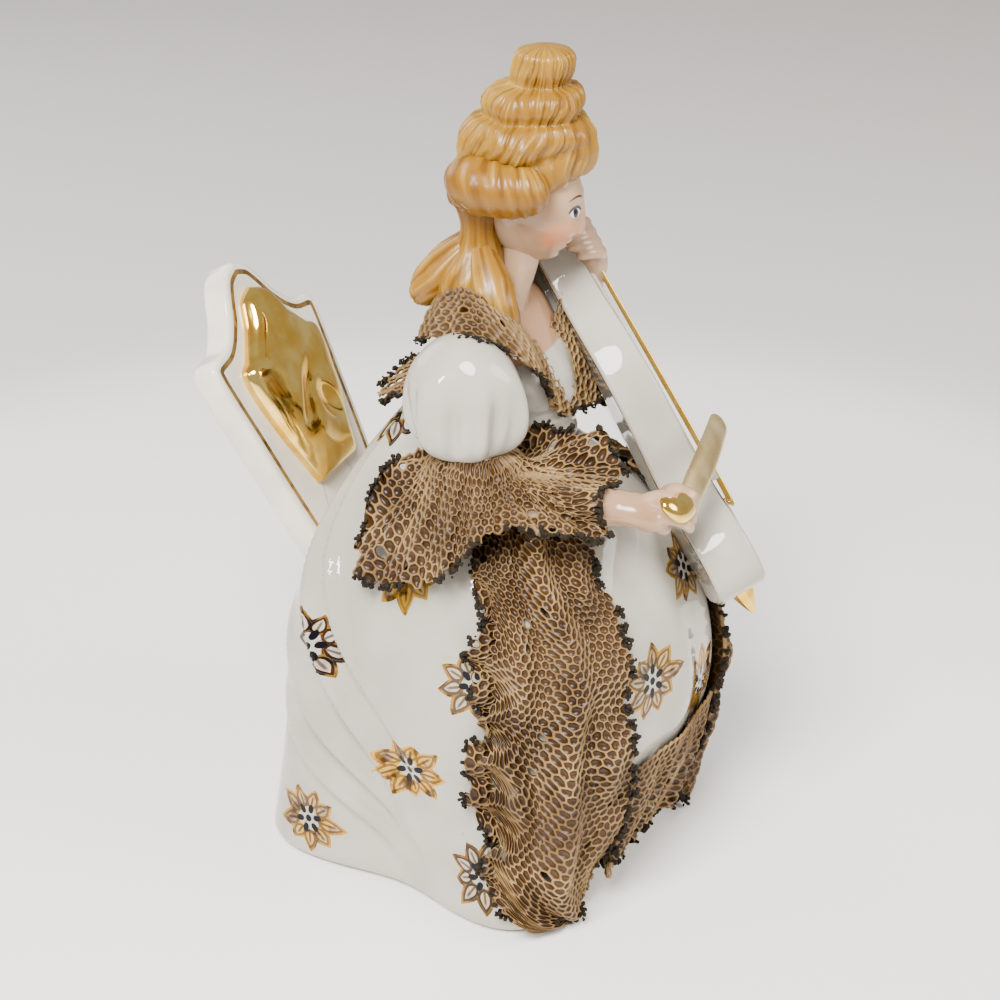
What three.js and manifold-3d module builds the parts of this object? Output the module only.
// Porcelain figurine of a seated lady in a wide gown who plays a cello, with net lace trimmings.
// Millimetres, +Z up. The lady faces -Y, her right hand is at -X, and z = 0 is the table that the hem stands on.
import * as THREE from "three";
import { mergeVertices } from "three/addons/utils/BufferGeometryUtils.js";
import Module from "manifold-3d";

const wasm = await Module();
wasm.setup();

// Driving dimensions
const gownAxisY = -4;
const gownTurn = -10;
const headCentre = [1.3, -13.9, 136];
const headYaw = 13;
const headNod = 10;
const bunHeight = 162;
const chairLean = 26;
const chairShoulder = [1.5, 43, 101.8];
const chairHalfWidth = 20.9;
const chairThickness = 6;
const endPinTip = [8, -57.9, 56.2];
const celloNeckPoint = [16, -13, 122.3];
const celloRoll = 34;
const celloDepth = 10.5;
const bowLength = 26;
const laceThickness = 1.2;
const clearance = 0.35;

// Finishes
const porcelain = finish(0xeef0ee, 0.12);
const gilding = finish(0xd9a53a, 0.18, 1);
const brownNet = finish(0xb08f66, 0.6);

function finish(color, roughness, metalness = 0) {
  return new THREE.MeshStandardMaterial({ color, roughness, metalness });
}

const degrees = (angle) => THREE.MathUtils.degToRad(angle);
const bump = (value, centre, width) => Math.exp(-(((value - centre) / width) ** 2));
const vector = (point) => new THREE.Vector3(...point);

// Solids from three.js geometry
function solidOf(geometry) {
  const bare = geometry.index ? geometry.toNonIndexed() : geometry.clone();
  for (const name of Object.keys(bare.attributes)) if (name !== "position") bare.deleteAttribute(name);
  const merged = mergeVertices(bare, 1e-4);
  return new wasm.Manifold(
    new wasm.Mesh({
      numProp: 3,
      vertProperties: merged.attributes.position.array,
      triVerts: new Uint32Array(merged.index.array),
    }),
  );
}

function geometryOf(solid) {
  const mesh = solid.getMesh();
  return new THREE.BufferGeometry()
    .setAttribute("position", new THREE.BufferAttribute(new Float32Array(mesh.vertProperties), 3))
    .setIndex(new THREE.BufferAttribute(new Uint32Array(mesh.triVerts), 1));
}

// Moves every vertex of a unit geometry to the place that a function gives it.
function bent(geometry, place) {
  const position = geometry.attributes.position;
  const point = new THREE.Vector3();
  for (let i = 0; i < position.count; i++) {
    const moved = place(point.fromBufferAttribute(position, i));
    position.setXYZ(i, moved.x, moved.y, moved.z);
  }
  return solidOf(geometry);
}

// The same solid a little larger all round, to cut its neighbours clear of it.
function swollen(solid, by) {
  const geometry = geometryOf(solid);
  geometry.computeVertexNormals();
  const { position, normal } = geometry.attributes;
  for (let i = 0; i < position.count; i++) {
    position.setXYZ(
      i,
      position.getX(i) + normal.getX(i) * by,
      position.getY(i) + normal.getY(i) * by,
      position.getZ(i) + normal.getZ(i) * by,
    );
  }
  return solidOf(geometry).add(solid);
}

const joined = (solids) => solids.reduce((whole, piece) => whole.add(piece));

// The largest body that a cut leaves.
const mainBody = (solid) => solid.decompose().sort((a, b) => b.volume() - a.volume())[0];

function line(points) {
  const curve = new THREE.SplineCurve(points.map(([reach, height]) => new THREE.Vector2(reach, height)));
  return (share) => curve.getPoint(Math.min(Math.max(share, 0), 1));
}

// A body drawn by three upright outlines, each a list of [reach from the axis, height]: front, side and back.
// turn is the angle round the axis, 0 at the front and 90 on the lady's left; along runs from 0 at the foot to 1.
function outlineSurface({ front, side, back, axis, yaw = 0, square = () => 2, relief = () => 0 }) {
  const [frontLine, sideLine, backLine] = [line(front), line(side), line(back)];
  return (turn, along, out = 0) => {
    const [sin, cos] = [Math.sin(turn), Math.cos(turn)];
    const beside = sideLine(along);
    const ahead = cos > 0 ? frontLine(along) : backLine(along);
    const height = beside.y + (ahead.y - beside.y) * cos * cos;
    const power = square(along);
    const round = (Math.abs(sin / beside.x) ** power + Math.abs(cos / ahead.x) ** power) ** (-1 / power);
    const reach = round + relief(turn, height) + out;
    const [x, y] = axis(height);
    const heading = turn + degrees(yaw);
    return new THREE.Vector3(x + reach * Math.sin(heading), y - reach * Math.cos(heading), height);
  };
}

function outlineBody(surface, around, along) {
  return bent(new THREE.CylinderGeometry(1, 1, 1, around, along), (p) => {
    const share = p.y + 0.5;
    if (Math.hypot(p.x, p.z) > 0.5) return surface(Math.atan2(p.x, p.z), share);
    return surface(Math.PI / 2, share).add(surface(-Math.PI / 2, share)).multiplyScalar(0.5);
  });
}

// A limb, lock or finger: round sections of the given radii along a smooth path, with rounded ends.
function limb(points, radii, sides = 10, steps = 8, flat = 1) {
  const path = new THREE.CatmullRomCurve3(points.map(vector));
  const frames = path.computeFrenetFrames(steps);
  const girth = line(radii.map((radius, i) => [radius, i]));
  return bent(new THREE.CylinderGeometry(1, 1, 1, sides, steps), (p) => {
    const share = p.y + 0.5;
    const step = Math.round(share * steps);
    const rounding = step === 0 || step === steps ? 0.6 : 1;
    const radius = girth(share).x * rounding;
    return path
      .getPointAt(share)
      .addScaledVector(frames.normals[step], p.x * radius)
      .addScaledVector(frames.binormals[step], -p.z * radius * flat);
  });
}

function ellipsoid([x, y, z], [rx, ry, rz], across = 16, tall = 10, relief = () => 1) {
  return bent(new THREE.SphereGeometry(1, across, tall), (p) => {
    const out = relief(p);
    return new THREE.Vector3(x + p.x * rx * out, y - p.z * ry * out, z + p.y * rz * out);
  });
}

// Gown: a wide skirt over the seat and the knees, whose outlines run from the hem up over the lap to the waist.
const gownSurface = outlineSurface({
  front: [[36, 0], [39, 12], [43.5, 28], [45.5, 43], [43.5, 57], [39, 69], [33, 79], [24, 87.5], [10, 95]],
  side: [[35, 0], [33.5, 12], [33, 28], [33.5, 44], [33, 58], [29.5, 70], [22, 81], [15, 89], [8, 97]],
  back: [[38, 0], [38.5, 12], [37.5, 28], [36, 44], [33.5, 58], [29, 71], [23, 83], [15, 94], [7, 103]],
  axis: () => [0, gownAxisY],
  yaw: gownTurn,
  square: (along) => 3.2 - 1.1 * along,
  relief: gownFolds,
});

// The hem stands out at its corners and is drawn in between them. Folds of the drawn-up overskirt sweep from
// high on the back to low on each side, and the petticoat in front falls in upright folds.
// Each drape is [its height where it ends at the side, its rise for each degree towards the back, its depth].
const skirtDrapes = [[12, 0.4, 1], [21, 0.58, 1.5], [30, 1, 1.4], [46, 1, 1.3]];
function gownFolds(turn, height) {
  const around = Math.abs(THREE.MathUtils.radToDeg(turn));
  const low = Math.max(0, 1 - height / 50);
  const drawnIn = bump(around, 90, 23) * -3 * low;
  const corners = (bump(around, 135, 17) * 3.6 + bump(around, 50, 17) * 3 - bump(around, 0, 26) * 8) * low ** 2;
  const drapes = skirtDrapes.map(([height100, slope, depth]) => {
    const above = height - height100 - slope * (around - 100);
    return depth * (bump(above, 3, 3.4) - 0.7 * bump(above, -1.6, 2.4)) * bump(around, 116, 24);
  });
  const petticoat = 0.8 * Math.cos(degrees(around * 15)) * bump(around, 0, 24) * bump(height, 52, 22);
  return drapes.reduce((sum, drape) => sum + drape, drawnIn + corners + petticoat);
}

// Bodice, from the waist to the tops of the shoulders
const bodiceSurface = outlineSurface({
  front: [[10, 86], [10.5, 93], [11, 98], [11.5, 104], [9.5, 109], [6, 114], [3, 118]],
  side: [[10, 86], [10, 93], [11.5, 98], [14, 104], [16, 110], [13.5, 116], [4, 119]],
  back: [[8, 86], [9, 93], [9.5, 98], [9.5, 104], [8.5, 110], [6, 116], [3, 119]],
  axis: (height) => [0, -8 + 0.06 * (height - 110)],
});

// Head: an egg drawn in at the chin, turned to her left and bent down towards the cello.
const headTurn = new THREE.Matrix4()
  .makeRotationZ(degrees(headYaw))
  .multiply(new THREE.Matrix4().makeRotationX(degrees(headNod)))
  .setPosition(vector(headCentre));
const onHead = (x, y, z) => new THREE.Vector3(x, y, z).applyMatrix4(headTurn);

function headAndNeck() {
  const skull = bent(new THREE.SphereGeometry(1, 16, 12), (p) => {
    const low = Math.max(0, -p.y);
    const face = Math.max(0, p.z);
    const nose = 1.5 * bump(p.y, -0.22, 0.17) * bump(p.x, 0, 0.17) * face;
    const sockets = 0.6 * bump(p.y, 0.02, 0.16) * bump(Math.abs(p.x), 0.36, 0.16) * face;
    return onHead(7.3 * p.x * (1 - 0.34 * low ** 1.6), -8.7 * p.z - nose + sockets, 10.8 * p.y);
  });
  const neck = limb([[0, -7, 110], [0.3, -9, 118], [0.8, -11, 125], [1.2, -12.2, 131]], [5.6, 4, 3.7, 4], 10, 4);
  return [skull, neck];
}

// Hair: waved rolls piled up over the head to a small bun, and locks that fall on the shoulders.
function hair() {
  const waves = (count, depth) => (p) => 1 + depth * (1 - p.y ** 2) * Math.cos(count * Math.atan2(p.x, p.z));
  const rolls = [
    ellipsoid([1.6, -15.4, bunHeight], [5.6, 5.8, 3], 12, 6),
    limb([[0, -8, 140], [0.6, -11, 146], [1.2, -13.6, 153], [1.6, -15.4, 161.5]], [8, 9.5, 8, 4.6], 12, 4),
    ellipsoid([1.4, -14.2, 157.2], [8.8, 9.4, 4.2], 14, 5, waves(5, 0.05)),
    ellipsoid([1.1, -12.8, 149.8], [11.5, 12.3, 5.6], 16, 5, waves(6, 0.05)),
    ellipsoid([2.2, -17, 146.6], [8, 7.2, 4.6], 12, 5),
    ellipsoid([0, -8.4, 141], [10.4, 10, 6], 16, 5, waves(6, 0.05)),
  ];
  const sideRoll = (side) => limb(
    [onHead(side * 5, 12, 4.3), onHead(side * 9.4, 6, 4.6), onHead(side * 8.9, -1.6, 6)].map((p) => p.toArray()),
    [4.8, 5, 3.2], 8, 4);
  const locks = [
    limb([[-2, -4, 138], [-4, -5, 132.5], [-4.2, -4.8, 127], [-6, -4, 121], [-6, -4.5, 117]], [5.5, 3.2, 4.8, 6.6, 5], 10, 5),
    limb([[-5, -7, 125], [-8, -10, 121.5], [-9, -13, 118.5], [-8.5, -15, 115.5]], [4, 4.2, 3.2, 1.8], 6, 4),
    limb([[-4, -1, 125], [-5.5, 2.5, 122.5], [-6, 5, 120], [-5, 5.5, 117.5]], [3.5, 3.6, 2.8, 1.6], 6, 4),
    limb([[2, -5, 129], [6.5, -4.8, 125], [9, -6.5, 120.5], [9, -9, 116.5]], [3.4, 4.2, 3.4, 2], 6, 4),
  ];
  return [...rolls, sideRoll(1), sideRoll(-1), ...locks];
}

// Puffed sleeve, gathered towards the elbow
function puff(centre) {
  const gathers = (p) => 1 + 0.06 * Math.cos(8 * Math.atan2(p.x, p.z)) * Math.max(0, 0.4 - p.y) * (1 - p.y ** 2);
  return ellipsoid(centre, [9.6, 10.6, 11.5], 14, 8, gathers);
}

// Fingers curled round a bar at centre: a bar direction, the side that the palm comes from, and the bar's radius.
function fist(centre, bar, palm, radius, side) {
  const [along, back] = [vector(bar).normalize(), vector(palm).normalize()];
  const across = new THREE.Vector3().crossVectors(along, back).multiplyScalar(side);
  return [-1.5, -0.5, 0.5, 1.5].map((place) => {
    const knuckle = [-30, 50, 130, 200].map((angle) => {
      const reach = radius + 1.1;
      return vector(centre)
        .addScaledVector(along, place * 2)
        .addScaledVector(back, reach * Math.cos(degrees(angle)))
        .addScaledVector(across, reach * Math.sin(degrees(angle)))
        .toArray();
    });
    return limb(knuckle, [1.4, 1.4, 1.3, 1.1], 5, 3);
  });
}

// Right arm: puffed sleeve, bare forearm held out in front, and the hand that holds the bow.
const rightWrist = [-18, -37, 88];
const bowGrip = [-14, -47.8, 87.2];
function rightArm() {
  return [
    puff([-21, -9.5, 107]),
    limb([[-22, -11, 99], [-24, -14, 90], [-21, -27, 88], rightWrist], [4.5, 4.4, 3.6, 2.7], 8, 5),
    limb([rightWrist, [-17, -41.5, 87.4], [-15, -47.5, 84.6]], [2.7, 4, 4.2], 8, 3, 0.8),
    ...fist(bowGrip, [0.85, 0.1, 0.5], [0.1, 0.7, -0.2], 1.7, 1),
  ];
}

// Left arm: puffed sleeve and a raised forearm, with the fingers round the neck of the cello.
const leftWrist = [21.5, -19, 115];
const neckGrip = [15.8, -14.2, 120.8];
function leftArm() {
  return [
    puff([20, -7.5, 107]),
    limb([[21, -8.5, 100], [24, -10.5, 94.5], [25.2, -14.5, 96], [24, -17, 105], leftWrist], [4.4, 4.2, 4, 3.5, 2.7], 8, 7),
    limb([leftWrist, [20.5, -18.5, 119], [20, -16.5, 122.5]], [2.7, 3.5, 3.4], 8, 3, 0.8),
    ...fist(neckGrip, vector(celloNeckPoint).sub(vector(endPinTip)).toArray(), [0.9, 0.4, -0.3], 5, 1),
  ];
}

const figurine = new THREE.Group();

function addPiece(name, solid, material, place = new THREE.Matrix4()) {
  const mesh = new THREE.Mesh(geometryOf(solid), material);
  mesh.name = name;
  mesh.applyMatrix4(place);
  figurine.add(mesh);
}

// A turned frame for a piece: where its own origin and its own +Y and +Z lie in the figurine.
function placement(origin, up, front) {
  const y = vector(up).normalize();
  const x = new THREE.Vector3().crossVectors(y, vector(front)).normalize();
  const z = new THREE.Vector3().crossVectors(x, y);
  return new THREE.Matrix4().makeBasis(x, y, z).setPosition(vector(origin));
}

const celloPlace = placement(endPinTip, vector(celloNeckPoint).sub(vector(endPinTip)).toArray(), [0, -1, 0.7])
  .multiply(new THREE.Matrix4().makeRotationY(degrees(celloRoll)));

const lady = mainBody(joined([
  outlineBody(gownSurface, 36, 12),
  outlineBody(bodiceSurface, 14, 5),
  ...headAndNeck(),
  ...hair(),
  ...rightArm(),
  ...leftArm(),
]));
addPiece("lady", lady, porcelain);
const ladyAndRoom = swollen(lady, clearance);

// Cuts a piece, which is drawn in its own turned frame, clear of the lady and of its other neighbours.
function fitted(solid, place, neighbours = [ladyAndRoom]) {
  const inverse = place.clone().invert().elements;
  return mainBody(neighbours.reduce((left, other) => left.subtract(other.transform(inverse)), solid));
}

// Chair back: a shield with a stepped crest that leans away behind her, and a raised cushion on its face.
// Each outline runs from the top of the crest down the lady's left side, and is mirrored for the other side.
function shield(half, count) {
  const curve = new THREE.CatmullRomCurve3(half.map(([x, y]) => new THREE.Vector3(x, y, 0)), false, "centripetal");
  const points = curve.getPoints(count).map(({ x, y }) => new THREE.Vector2(x, y));
  const mirror = points.slice(1).reverse().map(({ x, y }) => new THREE.Vector2(-x, y));
  return new THREE.Shape([...points, ...mirror].reverse());
}

function chairBack() {
  const panelOutline = shield([[0, 15.2], [4, 13.6], [6.8, 10.2], [9.6, 6], [14, 2.2], [19.4, 0.9],
    [20.8, -2.5], [18.6, -17], [16.6, -30], [13, -50]], 16);
  const panel = new THREE.ExtrudeGeometry(panelOutline, {
    depth: chairThickness - 1.8,
    bevelThickness: 0.9,
    bevelSize: 0.9,
    bevelOffset: -0.9,
    bevelSegments: 1,
  }).translate(0, 0, 0.9 - chairThickness);
  return solidOf(panel).add(cushion());
}

// The cushion swells from its outline to a flat dome.
function cushion() {
  const outline = shield([[0, 9.2], [3.4, 7.6], [6.2, 2.8], [10.5, -2], [13.8, -5.2], [12, -16], [6.8, -31]], 14);
  const [middleY, rings] = [-10, [[1, -0.5], [1, 1.2], [0.93, 3], [0.72, 4.2], [0.35, 4.8]]];
  const around = 26;
  const rim = outline.getSpacedPoints(around);
  return bent(new THREE.CylinderGeometry(1, 1, 1, around, rings.length - 1), (p) => {
    const [scale, height] = rings[Math.round((p.y + 0.5) * (rings.length - 1))];
    if (Math.hypot(p.x, p.z) < 0.5) return new THREE.Vector3(0, middleY, height);
    const share = (Math.atan2(p.x, p.z) / (2 * Math.PI) + 1) % 1;
    const edge = rim[Math.round(share * around) % around];
    return new THREE.Vector3(edge.x * scale, middleY + (edge.y - middleY) * scale, height);
  });
}

const lean = degrees(chairLean);
const chairPlace = placement(chairShoulder, [0, Math.sin(lean), Math.cos(lean)], [0, -1, 0]);
addPiece("chair_back", fitted(chairBack(), chairPlace), porcelain, chairPlace);

// Cello: drawn with its end pin tip at the origin, its neck along +Y and its strings on +Z.
function cello() {
  const bodyOutline = shield([[3, 84], [3.4, 75], [6.5, 67], [11, 59], [12.9, 49], [11.4, 40], [9.2, 33], [10.6, 26],
    [15.4, 20], [16.5, 14], [13.6, 8.4], [6, 5.8]], 15);
  const edge = { bevelThickness: 0.6, bevelSize: 0.6, bevelOffset: -0.6, bevelSegments: 1 };
  const body = new THREE.ExtrudeGeometry(bodyOutline, { ...edge, depth: celloDepth - 1.2 });
  body.translate(0, 0, 0.6 - celloDepth / 2);
  const tapered = bent(body, (p) => new THREE.Vector3(p.x, p.y, p.z * (1 - 0.3 * p.y / 84)));
  const belly = (y) => (celloDepth / 2) * (1 - 0.3 * y / 84);
  const neck = new THREE.BoxGeometry(5.4, 18, 5.6).translate(0, 90, 0);
  const fingerboard = new THREE.BoxGeometry(4.6, 50, 2).translate(0, 71, belly(80) - 0.1);
  const tailpiece = new THREE.CylinderGeometry(3.4, 1.8, 15, 6).scale(1, 1, 0.5).translate(0, 14.5, belly(14) + 0.7);
  const bridge = new THREE.BoxGeometry(9, 1.4, 4).translate(0, 28, belly(28) + 1.6);
  const pin = new THREE.ConeGeometry(3, 7.5, 10).rotateX(Math.PI).translate(0, 3.7, 1);
  const scroll = new THREE.CylinderGeometry(3.4, 3.4, 6, 12).rotateZ(Math.PI / 2).translate(0, 100.5, -1);
  const pieces = [neck, fingerboard, tailpiece, bridge, pin, scroll].map(solidOf);
  return joined([tapered, ...pieces]).translate(0, 0, -1.2);
}

const celloSolid = fitted(cello(), celloPlace);
addPiece("cello", celloSolid, porcelain, celloPlace);
const celloAndRoom = swollen(celloSolid.transform(celloPlace.elements), clearance);

// Bow: a short flat stick, drawn along +Y from the curl of its grip, with its broad side on +Z.
function bow() {
  const stick = limb([[0, 0, 0], [0, 8, 0.4], [0, 16, 0.6], [0, bowLength, 0]], [2.4, 2.7, 2.7, 2.2], 8, 4, 0.28);
  const curl = limb([[0, 2, 0.2], [-1.5, -2, 1], [-4, -3.5, 1.2], [-5.5, -2.5, 0.6]], [2.4, 2.2, 1.8, 1.2], 6, 4, 0.6);
  return stick.add(curl);
}

const bowPlace = placement([-15.5, -49.2, 88.6], [0.92, 0.03, 0.26], [-0.2, -0.7, 0.5]);
addPiece("bow", fitted(bow(), bowPlace, [ladyAndRoom, celloAndRoom]), gilding, bowPlace);

// Net lace: a sheet of even thickness about the surface that place(across, down) draws. A ring closes on itself.
const flatPlace = new THREE.Matrix4();
function laceSheet(place, across, down, ring = false) {
  const grid = new THREE.PlaneGeometry(1, 1, across, down);
  const { uv } = grid.attributes;
  const layers = [0.5, -0.5].map((side) => Array.from({ length: uv.count }, (_, i) => {
    const [u, v] = [uv.getX(i), 1 - uv.getY(i)];
    return place(u, v).addScaledVector(sheetNormal(place, u, v, ring), side * laceThickness);
  }));
  const wall = openEdges(across, down, ring).flatMap(([a, b]) => [b, a, a + uv.count, b, a + uv.count, b + uv.count]);
  const front = [...grid.index.array];
  const back = front.map((i) => i + uv.count).reverse();
  return solidOf(new THREE.BufferGeometry().setFromPoints(layers.flat()).setIndex([...front, ...back, ...wall]));
}

function sheetNormal(place, u, v, ring) {
  const step = 0.01;
  const inside = (value) => Math.min(Math.max(value, 0), 1);
  const across = ring
    ? place(u + step, v).sub(place(u - step, v))
    : place(inside(u + step), v).sub(place(inside(u - step), v));
  const up = place(u, inside(v - step)).sub(place(u, inside(v + step)));
  return across.cross(up).normalize();
}

// Pairs of neighbouring grid points along the edges that stay open, anticlockwise round the sheet.
function openEdges(across, down, ring) {
  const at = (column, row) => row * (across + 1) + column;
  const edges = [];
  for (let i = 0; i < across; i++) edges.push([at(i + 1, 0), at(i, 0)], [at(i, down), at(i + 1, down)]);
  if (ring) return edges;
  for (let i = 0; i < down; i++) edges.push([at(0, i), at(0, i + 1)], [at(across, i + 1), at(across, i)]);
  return edges;
}

// Cascade down one edge of the overskirt: a strip gathered into one deep upright fold, with frilled edges.
// It narrows at the foot to a lobe that hangs over the hem.
function cascade(side) {
  return laceSheet((across, down) => {
    const fromInner = side > 0 ? across : 1 - across;
    const foot = Math.max(0, (down - 0.82) / 0.18);
    const inner = 22 + 7 * foot ** 2;
    const outer = 57 - 9 * foot ** 2;
    const turn = side * (inner + (outer - inner) * fromInner + 1.2 * Math.sin(down * 15));
    const lift = 0.075 * Math.max(0, 1 - fromInner / 0.5);
    const along = 0.79 - (0.77 - lift) * down;
    const fold = 3 * bump(fromInner, 0.46, 0.2) + 1.5 * bump(fromInner, 0, 0.14) + 1.6 * bump(fromInner, 1, 0.16);
    return gownSurface(degrees(turn), along, 1.3 + fold * (1 - 0.8 * foot));
  }, 8, 11);
}

// Flounce at the foot of the petticoat, between the cascades, in upright folds that spread towards the hem
function flounce() {
  return laceSheet((across, down) => {
    const turn = (across - 0.5) * 44;
    const along = 0.315 - 0.235 * down;
    const folds = 1.1 * down * Math.cos(across * 4.5 * 2 * Math.PI);
    return gownSurface(degrees(turn), along, 1.2 + 1.6 * down + folds);
  }, 18, 2);
}

const closedCurve = (points) => new THREE.CatmullRomCurve3(points.map(vector), true);

// Elbow ruffle: a wide bell of net from the foot of the puffed sleeve to a rim that dips at the elbow.
function ruffle(centre, radius, rim) {
  const rimCurve = closedCurve(rim);
  return laceSheet((around, down) => {
    const low = rimCurve.getPoint((around + 1) % 1);
    const outward = low.clone().sub(vector(centre)).setZ(0).normalize();
    const top = vector(centre).addScaledVector(outward, radius);
    const middle = top.clone().lerp(low, 0.3);
    middle.z = top.z * 0.5 + low.z * 0.5;
    const [a, b, c] = [(1 - down) ** 2, 2 * down * (1 - down), down ** 2];
    return top.multiplyScalar(a).addScaledVector(middle, b).addScaledVector(low, c);
  }, 18, 3, true);
}

// Collar: a band of net round the neckline and over the shoulders, with a fall down the front of the bodice.
function collar() {
  const bothSides = (half) => closedCurve([...half, ...half.slice(1, -1).reverse().map(([x, y, z]) => [-x, y, z])]);
  const neckline = bothSides([[0, -15.2, 110.5], [6, -16, 112.6], [12, -15, 117], [13.3, -6.5, 121.4], [9, -0.5, 119],
    [0, 1.4, 115.6]]);
  const edge = bothSides([[0, -21.3, 98.5], [8, -20.8, 100.5], [14.5, -20.6, 114.6], [22.3, -11, 121],
    [15, 2.6, 117.8], [0, 3.6, 110]]);
  return laceSheet((around, down) => {
    const share = (around + 1) % 1;
    const point = neckline.getPoint(share).lerp(edge.getPoint(share), down);
    const away = new THREE.Vector3(point.x, point.y + 8, 9).normalize();
    return point.addScaledVector(away, 1.3 * Math.sin(Math.PI * down));
  }, 18, 2, true);
}

// Frill that stands off the back of the waist
function backFrill() {
  return laceSheet((across, down) => {
    const turn = 180 + (across - 0.5) * 70;
    const waved = 0.8 * Math.cos(across * 5 * 2 * Math.PI) * down;
    return bodiceSurface(degrees(turn), 0.33, 2 + 12 * down + waved).setZ(103.5 - 5.5 * down - waved);
  }, 10, 2);
}

const rightRuffle = ruffle([-21.5, -11.5, 95.3], 7.3, [[-15, -38, 92], [-12, -33, 98.4], [-12.5, -22, 98.5],
  [-14, -6, 97.5], [-22, 7, 87], [-31, 8.5, 71.5], [-34, -2, 71.5], [-35, -11, 76], [-34.5, -17.5, 84.5],
  [-33, -25, 88], [-29, -34, 86], [-25, -38.5, 84.5], [-22, -35.5, 91.5]]);
const leftRuffle = ruffle([20.8, -11, 97.5], 7.6, [[20, -27, 89.5], [26, -24, 88.5], [33, -16, 86], [34, -6, 84],
  [30, 3, 85], [23, 5, 89], [14.5, -2, 95.5], [13, -12, 95.5], [11, -20, 95], [14, -26, 91.5]]);

const laces = [];
function addLace(name, solid) {
  const clear = fitted(solid, flatPlace, [ladyAndRoom, celloAndRoom, ...laces]);
  laces.push(swollen(clear, clearance));
  addPiece(name, clear, brownNet);
}

addLace("collar_lace", collar());
addLace("sleeve_lace_right", rightRuffle);
addLace("sleeve_lace_left", leftRuffle);
addLace("back_lace", backFrill());
addLace("skirt_lace_right", cascade(-1));
addLace("skirt_lace_left", cascade(1));
addLace("hem_lace", flounce());

export default figurine;
